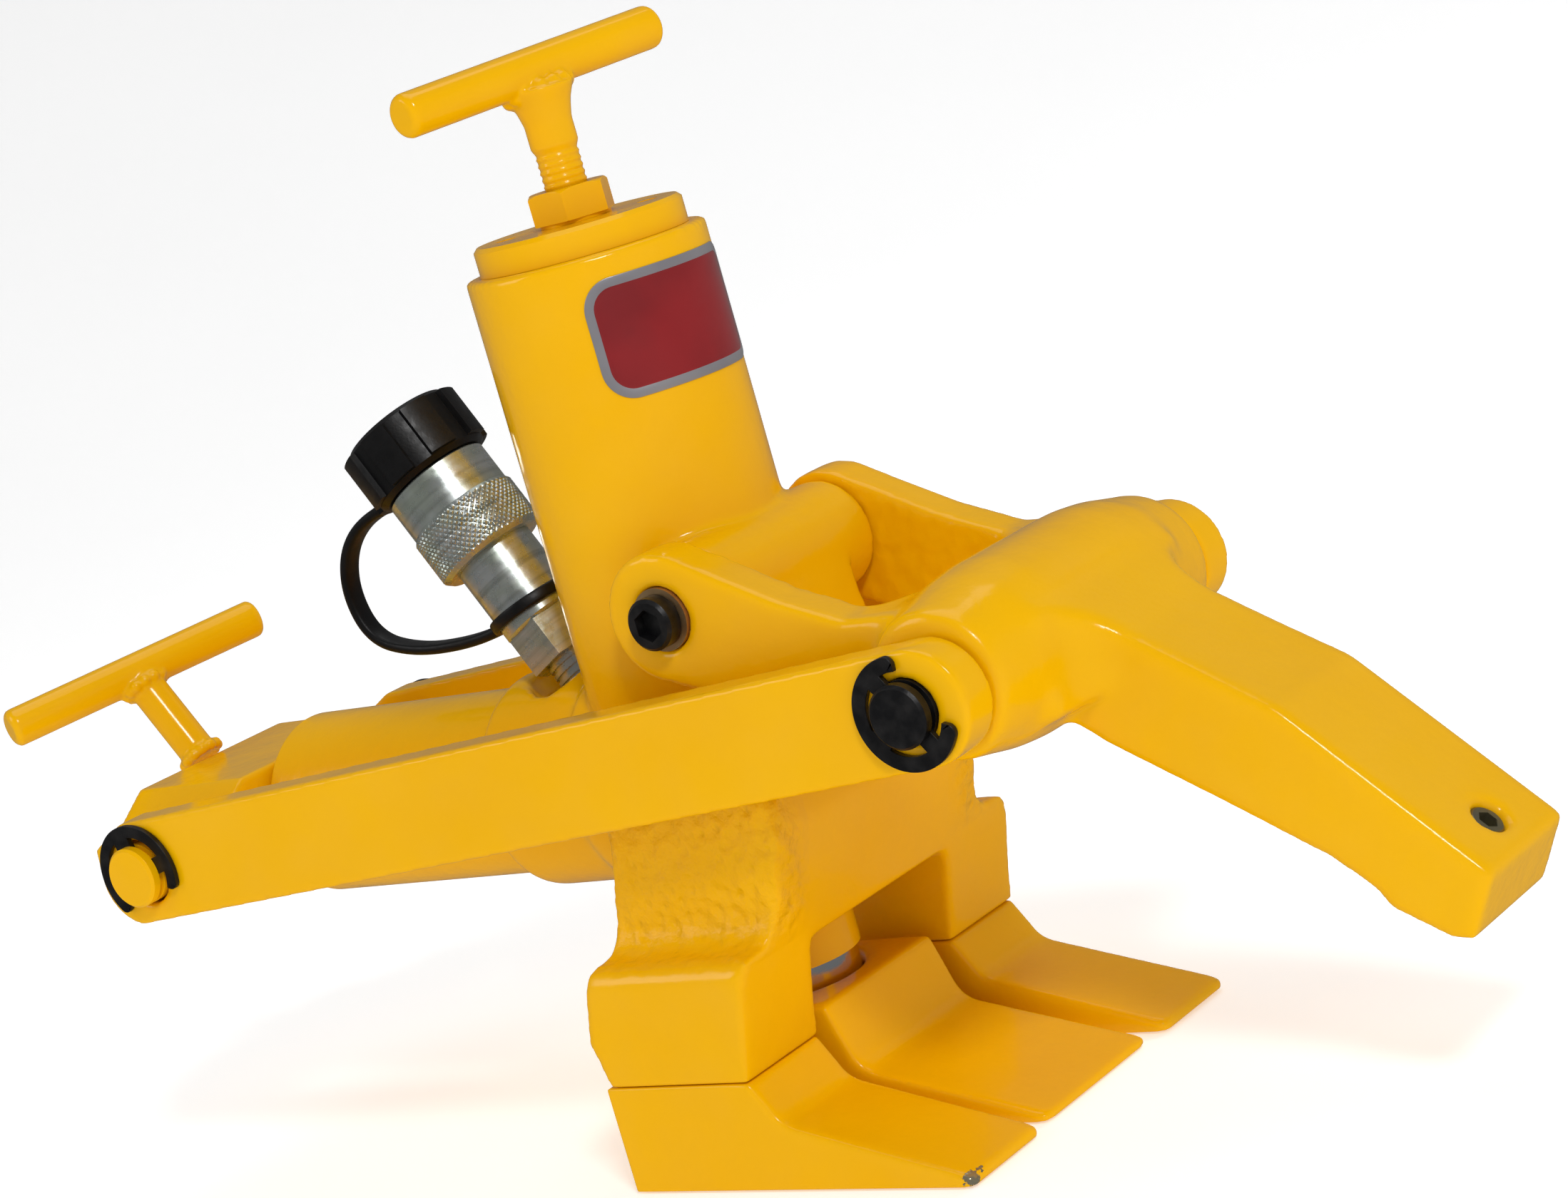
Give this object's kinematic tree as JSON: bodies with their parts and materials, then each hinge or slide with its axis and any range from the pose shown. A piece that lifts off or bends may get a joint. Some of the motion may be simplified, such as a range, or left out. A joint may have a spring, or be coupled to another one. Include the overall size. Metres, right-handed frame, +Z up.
{
  "type": "hydraulic bead breaker",
  "caption": "Hydraulic bead breaker for heavy wheels: upright push cylinder with wedge toes, hinged clamping claw, side bars, rear clamp cylinder and oil coupler.",
  "frame": {"origin": "centre of the overall box in plan, at the level of the soles of the toes", "axes": "+X towards the claw, +Z up along the main cylinder, +Y across"},
  "size_m": [0.5016, 0.1494, 0.3178],
  "materials": {
    "yellow_paint": "gloss enamel over a cast or forged surface",
    "hard_chrome": "ground and polished",
    "zinc_plate": "passivated zinc, slightly yellow",
    "zinc_screw": "yellow passivated zinc",
    "black_oxide": "black oxide, satin",
    "black_plastic": "moulded, fine texture",
    "seal_rubber": "satin",
    "bush_bronze": "turned",
    "label_film": "plain red film with a silver border",
    "machined_steel": "turned"
  },
  "bodies": {
    "frame": {"main_casting": "yellow_paint", "cylinder_cap": "yellow_paint", "handle_lock_nut": "yellow_paint", "handle_stud": "yellow_paint", "handle_bar": "yellow_paint", "ram_guide": "yellow_paint", "ram_wiper": "seal_rubber", "outer_toe_left": "yellow_paint", "outer_toe_right": "yellow_paint", "toe_screw_left_rear": "black_oxide", "toe_screw_left_front": "black_oxide", "toe_screw_right_rear": "black_oxide", "toe_screw_right_front": "black_oxide", "pivot_screw_left": "black_oxide", "pivot_screw_right": "black_oxide", "clamp_barrel": "yellow_paint", "clamp_gland": "machined_steel", "port_nipple": "zinc_plate", "coupler_body": "zinc_plate", "dust_cap": "black_plastic", "dust_cap_strap": "black_plastic", "ram_return_spring": "machined_steel", "front_label": "label_film"},
    "collar": {"coupler_collar": "zinc_plate"},
    "ram": {"ram_rod": "hard_chrome", "ram_piston": "machined_steel", "ram_piston_seal": "seal_rubber", "middle_toe": "yellow_paint", "middle_toe_screw": "black_oxide"},
    "claw": {"claw_arm": "yellow_paint", "claw_set_screw": "zinc_screw", "pivot_bush_left": "bush_bronze", "pivot_bush_right": "bush_bronze", "front_pin": "black_oxide", "front_clip_left": "black_oxide", "front_clip_right": "black_oxide"},
    "bars": {"side_bar_left": "yellow_paint", "side_bar_right": "yellow_paint"},
    "crosshead": {"crosshead": "yellow_paint", "clamp_rod": "hard_chrome", "clamp_piston": "machined_steel", "clamp_piston_seal": "seal_rubber", "rear_pin": "yellow_paint", "rear_clip_left": "black_oxide", "rear_clip_right": "black_oxide", "rear_handle_stem": "yellow_paint", "rear_handle_bar": "yellow_paint"}
  },
  "joints": [
    {"name": "ram_stroke", "type": "slide", "parent": "frame", "child": "ram", "axis": [0, 0, -1], "range_m": [0, 0.08], "stiffness_N_per_m": 1500, "springref_m": -0.04, "deforming": ["ram_return_spring"]},
    {"name": "claw_swing", "type": "hinge", "parent": "frame", "child": "claw", "pos_m": [0.0381, 0, 0.1585], "axis": [0, 1, 0], "range_deg": [0, 13], "stiffness_Nm_per_rad": 25, "springref_deg": -20.05},
    {"name": "bar_swing", "type": "hinge", "parent": "claw", "child": "bars", "pos_m": [0.1266, 0, 0.1305], "axis": [0, 1, 0], "range_deg": [-9.6, 0]},
    {"name": "clamp_stroke", "type": "slide", "parent": "frame", "child": "crosshead", "axis": [-1, 0, 0], "range_m": [0, 0.0096]},
    {"name": "collar_spin", "type": "hinge", "parent": "frame", "child": "collar", "pos_m": [-0.06248, 0, 0.18202], "axis": [-0.4756, 0, 0.8797], "continuous": true}
  ],
  "couplings": [
    {"joint": "bar_swing", "follows": "claw_swing", "ratio": -0.7151},
    {"joint": "clamp_stroke", "follows": "claw_swing", "m_per_rad": 0.04039}
  ]
}
